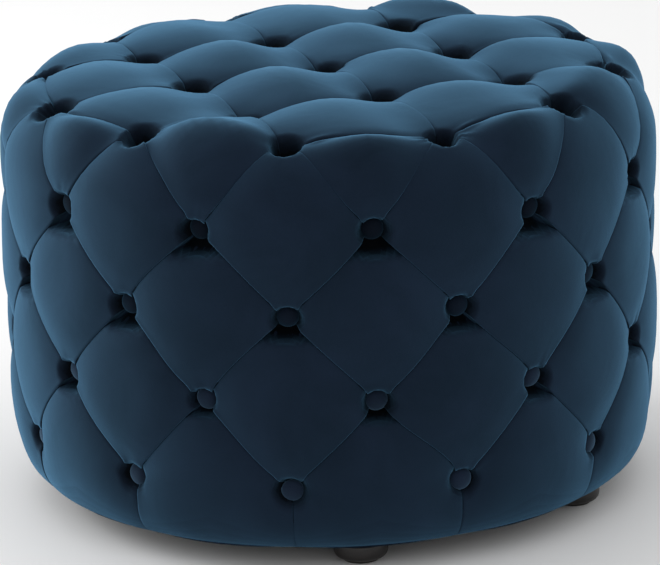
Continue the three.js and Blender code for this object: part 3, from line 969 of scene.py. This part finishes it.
def velvet_material(name, sheen, shade, tint=(0.23, 0.61, 1.0)):
    m, nt, b = new_material(name)
    link = nt.links.new
    co = node(nt, "ShaderNodeTexCoord")
    # where the pile has been brushed one way or another
    brush = node(nt, "ShaderNodeTexNoise", Scale=13.0, Detail=3.0, Roughness=0.55, Distortion=0.6)
    link(co.outputs["Object"], brush.inputs["Vector"])
    fine = node(nt, "ShaderNodeTexNoise", Scale=420.0, Detail=2.0, Roughness=0.6)
    link(co.outputs["Object"], fine.inputs["Vector"])
    mixf = node(nt, "ShaderNodeMath", operation="MULTIPLY_ADD")
    link(fine.outputs["Fac"], mixf.inputs[0])
    mixf.inputs[1].default_value = 0.25
    link(brush.outputs["Fac"], mixf.inputs[2])
    ramp = node(nt, "ShaderNodeValToRGB")
    ramp.color_ramp.elements[0].position = 0.42
    ramp.color_ramp.elements[0].color = (0.0036 * shade, 0.0064 * shade, 0.0136 * shade, 1)
    ramp.color_ramp.elements[1].position = 0.86
    ramp.color_ramp.elements[1].color = (0.0066 * shade, 0.0112 * shade, 0.0236 * shade, 1)
    link(mixf.outputs[0], ramp.inputs["Fac"])
    # painted shade: the base colour is darkened by the pit attribute, down to 0.12 of itself deep in a pit
    pit = node(nt, "ShaderNodeAttribute", attribute_name="pit")
    deep = node(nt, "ShaderNodeMapRange")
    deep.inputs["To Min"].default_value = 1.0
    deep.inputs["To Max"].default_value = 0.12
    link(pit.outputs["Fac"], deep.inputs["Value"])
    dim = node(nt, "ShaderNodeVectorMath", operation="SCALE")
    link(ramp.outputs["Color"], dim.inputs[0])
    link(deep.outputs["Result"], dim.inputs["Scale"])
    link(dim.outputs["Vector"], b.inputs["Base Color"])
    b.inputs["Roughness"].default_value = 0.85
    b.inputs["Specular IOR Level"].default_value = 0.05
    b.inputs["Sheen Weight"].default_value = sheen
    b.inputs["Sheen Roughness"].default_value = 0.5
    b.inputs["Sheen Tint"].default_value = (*tint, 1)
    pile = node(nt, "ShaderNodeTexNoise", Scale=1500.0, Detail=1.0)
    link(co.outputs["Object"], pile.inputs["Vector"])
    bump = node(nt, "ShaderNodeBump", Strength=0.25, Distance=0.0004)
    link(pile.outputs["Fac"], bump.inputs["Height"])
    bump2 = node(nt, "ShaderNodeBump", Strength=0.2, Distance=0.004)
    link(brush.outputs["Fac"], bump2.inputs["Height"])
    link(bump.outputs["Normal"], bump2.inputs["Normal"])
    link(bump2.outputs["Normal"], b.inputs["Normal"])
    return m


def wood_material(name, light, dark, scale, stretch, rough=0.62):
    m, nt, b = new_material(name)
    link = nt.links.new
    co = node(nt, "ShaderNodeTexCoord")
    mp = node(nt, "ShaderNodeMapping")
    mp.inputs["Scale"].default_value = stretch
    link(co.outputs["Object"], mp.inputs["Vector"])
    n1 = node(nt, "ShaderNodeTexNoise", Scale=scale, Detail=6.0, Roughness=0.6, Distortion=1.2)
    link(mp.outputs["Vector"], n1.inputs["Vector"])
    ramp = node(nt, "ShaderNodeValToRGB")
    ramp.color_ramp.elements[0].position = 0.35
    ramp.color_ramp.elements[0].color = (*dark, 1)
    ramp.color_ramp.elements[1].position = 0.65
    ramp.color_ramp.elements[1].color = (*light, 1)
    link(n1.outputs["Fac"], ramp.inputs["Fac"])
    link(ramp.outputs["Color"], b.inputs["Base Color"])
    b.inputs["Roughness"].default_value = rough
    bump = node(nt, "ShaderNodeBump", Strength=0.2, Distance=0.0006)
    link(n1.outputs["Fac"], bump.inputs["Height"])
    link(bump.outputs["Normal"], b.inputs["Normal"])
    return m


def speckled_material(name, light, dark, scale, rough, metallic=0.0, bump_size=0.0003, strength=0.2, specular=0.5):
    m, nt, b = new_material(name)
    link = nt.links.new
    co = node(nt, "ShaderNodeTexCoord")
    n1 = node(nt, "ShaderNodeTexNoise", Scale=scale, Detail=3.0, Roughness=0.6)
    link(co.outputs["Object"], n1.inputs["Vector"])
    ramp = node(nt, "ShaderNodeValToRGB")
    ramp.color_ramp.elements[0].position = 0.35
    ramp.color_ramp.elements[0].color = (*dark, 1)
    ramp.color_ramp.elements[1].position = 0.68
    ramp.color_ramp.elements[1].color = (*light, 1)
    link(n1.outputs["Fac"], ramp.inputs["Fac"])
    link(ramp.outputs["Color"], b.inputs["Base Color"])
    rr = node(nt, "ShaderNodeMapRange")
    rr.inputs["To Min"].default_value = max(0.05, rough - 0.08)
    rr.inputs["To Max"].default_value = min(1.0, rough + 0.08)
    link(n1.outputs["Fac"], rr.inputs["Value"])
    link(rr.outputs["Result"], b.inputs["Roughness"])
    b.inputs["Metallic"].default_value = metallic
    b.inputs["Specular IOR Level"].default_value = specular
    bump = node(nt, "ShaderNodeBump", Strength=strength, Distance=bump_size)
    link(n1.outputs["Fac"], bump.inputs["Height"])
    link(bump.outputs["Normal"], b.inputs["Normal"])
    return m


velvet = velvet_material("velvet_navy", 0.52, 1.0)
# painted shade: copies of the velvet with less sheen and a darker base, for the pits, the folds and the rows near the
# hem
velvet_slight_pit_shade = velvet_material("velvet_navy_pressed", 0.485, 1.0)
velvet_in_pit_shade = velvet_material("velvet_navy_in_pits", 0.22, 0.9)
velvet_shaded_fold = velvet_material("velvet_navy_in_folds", 0.14, 0.55)
# painted shade on the buttons of rows 1 and 2, painted light on those of rows 3 and 4: copies of one velvet with other
# sheen and brightness
velvet_shaded_deep_buttons = velvet_material("velvet_navy_on_deep_buttons", 0.12, 0.42)
velvet_shaded_buttons = velvet_material("velvet_navy_on_buttons", 0.22, 0.62)
velvet_lit_low_buttons = velvet_material("velvet_navy_on_low_buttons", 0.44, 1.35, (0.33, 0.62, 0.94))
velvet_shaded_hem = [velvet_material(f"velvet_navy_towards_hem_{i}", sheen, 1.0) for i, sheen in enumerate((0.24, 0.31, 0.38, 0.45))]
foam_mat = speckled_material("foam_cream", (0.83, 0.78, 0.60), (0.70, 0.64, 0.46), 900.0, 0.95, bump_size=0.0006, strength=0.5, specular=0.2)
ply_mat = wood_material("plywood_raw", (0.62, 0.44, 0.25), (0.42, 0.27, 0.13), 22.0, (1.0, 6.0, 1.0))
pine_mat = wood_material("pine_planed", (0.68, 0.49, 0.28), (0.50, 0.32, 0.16), 30.0, (8.0, 8.0, 0.7))
board_mat = speckled_material("hardboard_brown", (0.30, 0.16, 0.075), (0.20, 0.10, 0.045), 500.0, 0.8, bump_size=0.0003)
steel_mat = speckled_material("zinc_steel", (0.62, 0.62, 0.64), (0.45, 0.45, 0.47), 300.0, 0.36, metallic=1.0, bump_size=0.0001)
cambric_mat = speckled_material("cambric_black", (0.020, 0.020, 0.021), (0.008, 0.008, 0.009), 1400.0, 0.95, bump_size=0.0003, strength=0.5, specular=0.15)
foot_mat = wood_material("foot_black_stain", (0.014, 0.011, 0.010), (0.006, 0.005, 0.005), 60.0, (1.0, 1.0, 5.0), rough=0.42)
glide_mat = speckled_material("glide_felt", (0.05, 0.046, 0.042), (0.025, 0.023, 0.021), 2500.0, 0.95, bump_size=0.0004, strength=0.6, specular=0.1)


def give(ob, material):
    ob.data.materials.clear()
    ob.data.materials.append(material)


for name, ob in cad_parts.items():
    if name in ("deck_panel", "base_ring"):
        give(ob, ply_mat)
    elif name.startswith(("post_", "base_rail")):
        give(ob, pine_mat)
    elif name == "side_drum":
        give(ob, board_mat)
    elif name.startswith(("deck_screw", "base_screw", "foot_bolt", "tee_nut")):
        give(ob, steel_mat)
    elif name.endswith("foam"):
        give(ob, foam_mat)
    elif name.startswith("foot_glide"):
        give(ob, glide_mat)
    elif name.startswith("foot_"):
        give(ob, foot_mat)
    elif name == "dust_cover":
        give(ob, cambric_mat)
    else:
        give(ob, velvet)

# ---------------------------------------------------------------------------------------------
# Pieces
# ---------------------------------------------------------------------------------------------
cover = make_cover()
for cloth in [velvet, velvet_slight_pit_shade, velvet_in_pit_shade, velvet_shaded_fold] + velvet_shaded_hem:
    cover.data.materials.append(cloth)
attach(cover, "root")
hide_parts("velvet_cover")
make_buttons(velvet_shaded_deep_buttons, velvet_shaded_buttons, velvet_lit_low_buttons)
make_foam(foam_mat)


def turned_piece(name, profile, centre, material, replaces_node, seg=72):
    """Turned solid about a vertical line through centre, from (radius, height) points, on the axis at both ends."""
    co, faces = [], []
    cx, cy = centre
    rings = []
    for r, z in profile:
        if r == 0:
            rings.append([len(co)])
            co.append((cx, cy, z))
        else:
            rings.append(list(range(len(co), len(co) + seg)))
            co.extend((cx + r * math.cos(2 * math.pi * s / seg), cy + r * math.sin(2 * math.pi * s / seg), z) for s in range(seg))
    for a, b in zip(rings[:-1], rings[1:]):
        for s in range(seg):
            t = (s + 1) % seg
            if len(a) == 1:
                faces.append([a[0], b[t], b[s]])
            elif len(b) == 1:
                faces.append([a[s], a[t], b[0]])
            else:
                faces.append([a[s], a[t], b[t], b[s]])
    ob = mesh_object(name, co, faces)
    fix_normals(ob)
    ob.data.materials.append(material)
    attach(ob, "root")
    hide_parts(replaces_node)
    return ob


FOOT_PROFILE = [(0, 2.4), (17.6, 2.4), (18.6, 2.5), (20.6, 2.9), (22.6, 3.7), (24.3, 5.0), (25.6, 6.8), (26.3, 9.0), (26.5, 11.5), (26.5, 17.4),
                (26.35, 18.6), (25.9, 19.4), (25.2, 19.9), (24.6, 20.05), (5.2, 20.05), (4.8, 19.8), (4.7, 19.0), (4.7, 6.1), (0, 5.9)]
GLIDE_PROFILE = [(0, 0.0), (16.6, 0.0), (17.4, 0.15), (17.9, 0.6), (18.0, 1.2), (17.8, 1.8), (17.2, 2.0), (0, 2.0)]
for k, a in enumerate((-HALF_ANGLE, HALF_ANGLE, 180 - HALF_ANGLE, 180 + HALF_ANGLE), 1):
    c = polar(FOOT_PITCH_R, a + FRAME_TURN, 0)
    turned_piece(f"round_foot_{k}", FOOT_PROFILE, (c[0], c[1]), foot_mat, f"foot_{k}")
    turned_piece(f"felt_glide_{k}", GLIDE_PROFILE, (c[0], c[1]), glide_mat, f"foot_glide_{k}", 48)

# ---------------------------------------------------------------------------------------------
# Stage, light and camera
# ---------------------------------------------------------------------------------------------
R_UNIT = 0.315
MID_Z = 0.683 * R_UNIT
CAM_F, CAM_D, CAM_EL, CAM_ROLL, CAM_YAW, CAM_PITCH = 4045.14, 13.0005, 0.28108, -0.0294, 0.00021, -0.00329
VIEW_TURN = math.radians(22.3)       # the photograph's view direction against the button pattern


def rotate(v, axis, angle):
    return Quaternion(axis, angle) @ v


cam_data = bpy.data.cameras.new("camera")
cam_data.sensor_fit = "HORIZONTAL"
cam_data.sensor_width = 36.0
cam_data.lens = CAM_F / 660.0 * 36.0
cam_data.clip_start, cam_data.clip_end = 0.1, 60.0
cam = bpy.data.objects.new("camera", cam_data)
bpy.context.scene.collection.objects.link(cam)
fwd = Vector((0, math.cos(CAM_EL), -math.sin(CAM_EL)))
right = Vector((1, 0, 0))
up = right.cross(fwd)
pos = -fwd * CAM_D * R_UNIT
fwd, right = rotate(fwd, up, CAM_YAW), rotate(right, up, CAM_YAW)
fwd, up = rotate(fwd, right, CAM_PITCH), rotate(up, right, CAM_PITCH)
r2 = right * math.cos(CAM_ROLL) + up * math.sin(CAM_ROLL)
u2 = -right * math.sin(CAM_ROLL) + up * math.cos(CAM_ROLL)
spin = Matrix.Rotation(-VIEW_TURN, 3, "Z")
pos, fwd, r2, u2 = spin @ pos, spin @ fwd, spin @ r2, spin @ u2
m = Matrix((r2, u2, -fwd)).transposed().to_4x4()
m.translation = pos + Vector((0, 0, MID_Z))
cam.matrix_world = m
bpy.context.scene.camera = cam


def place_light(name, size, energy, location, target, colour=(1, 1, 1), size_y=None):
    d = bpy.data.lights.new(name, "AREA")
    d.shape = "RECTANGLE"
    d.size = size
    d.size_y = size_y or size
    d.energy = energy
    d.color = colour
    o = bpy.data.objects.new(name, d)
    bpy.context.scene.collection.objects.link(o)
    loc = spin @ Vector(location)
    o.location = loc
    o.rotation_mode = "QUATERNION"
    o.rotation_quaternion = (spin @ Vector(target) - loc).to_track_quat("-Z", "Y")
    return o


# in the view's own directions: -Y is towards the camera, +X to the right
place_light("key_overhead", 3.0, 8, (-0.3, 1.6, 2.8), (0, 0, 0.2))
place_light("left_strip", 1.6, 66, (-3.1, 1.2, 1.3), (0, 0, 0.2), size_y=2.0)

world = bpy.data.worlds.new("studio")
bpy.context.scene.world = world
world.use_nodes = True
world.node_tree.nodes["Background"].inputs["Color"].default_value = (1, 1, 1, 1)
world.node_tree.nodes["Background"].inputs["Strength"].default_value = 0.88

floor_mesh = bpy.data.meshes.new("floor")
floor_mesh.from_pydata([(-12, -12, -0.0002), (12, -12, -0.0002), (12, 12, -0.0002), (-12, 12, -0.0002)], [], [(0, 1, 2, 3)])
floor = bpy.data.objects.new("floor", floor_mesh)
bpy.context.scene.collection.objects.link(floor)
fm, fnt, fb = new_material("studio_floor")
fb.inputs["Base Color"].default_value = (0.88, 0.88, 0.88, 1)
fb.inputs["Roughness"].default_value = 0.7
fb.inputs["Specular IOR Level"].default_value = 0.2
floor.data.materials.append(fm)

bpy.context.scene.view_settings.view_transform = "Standard"
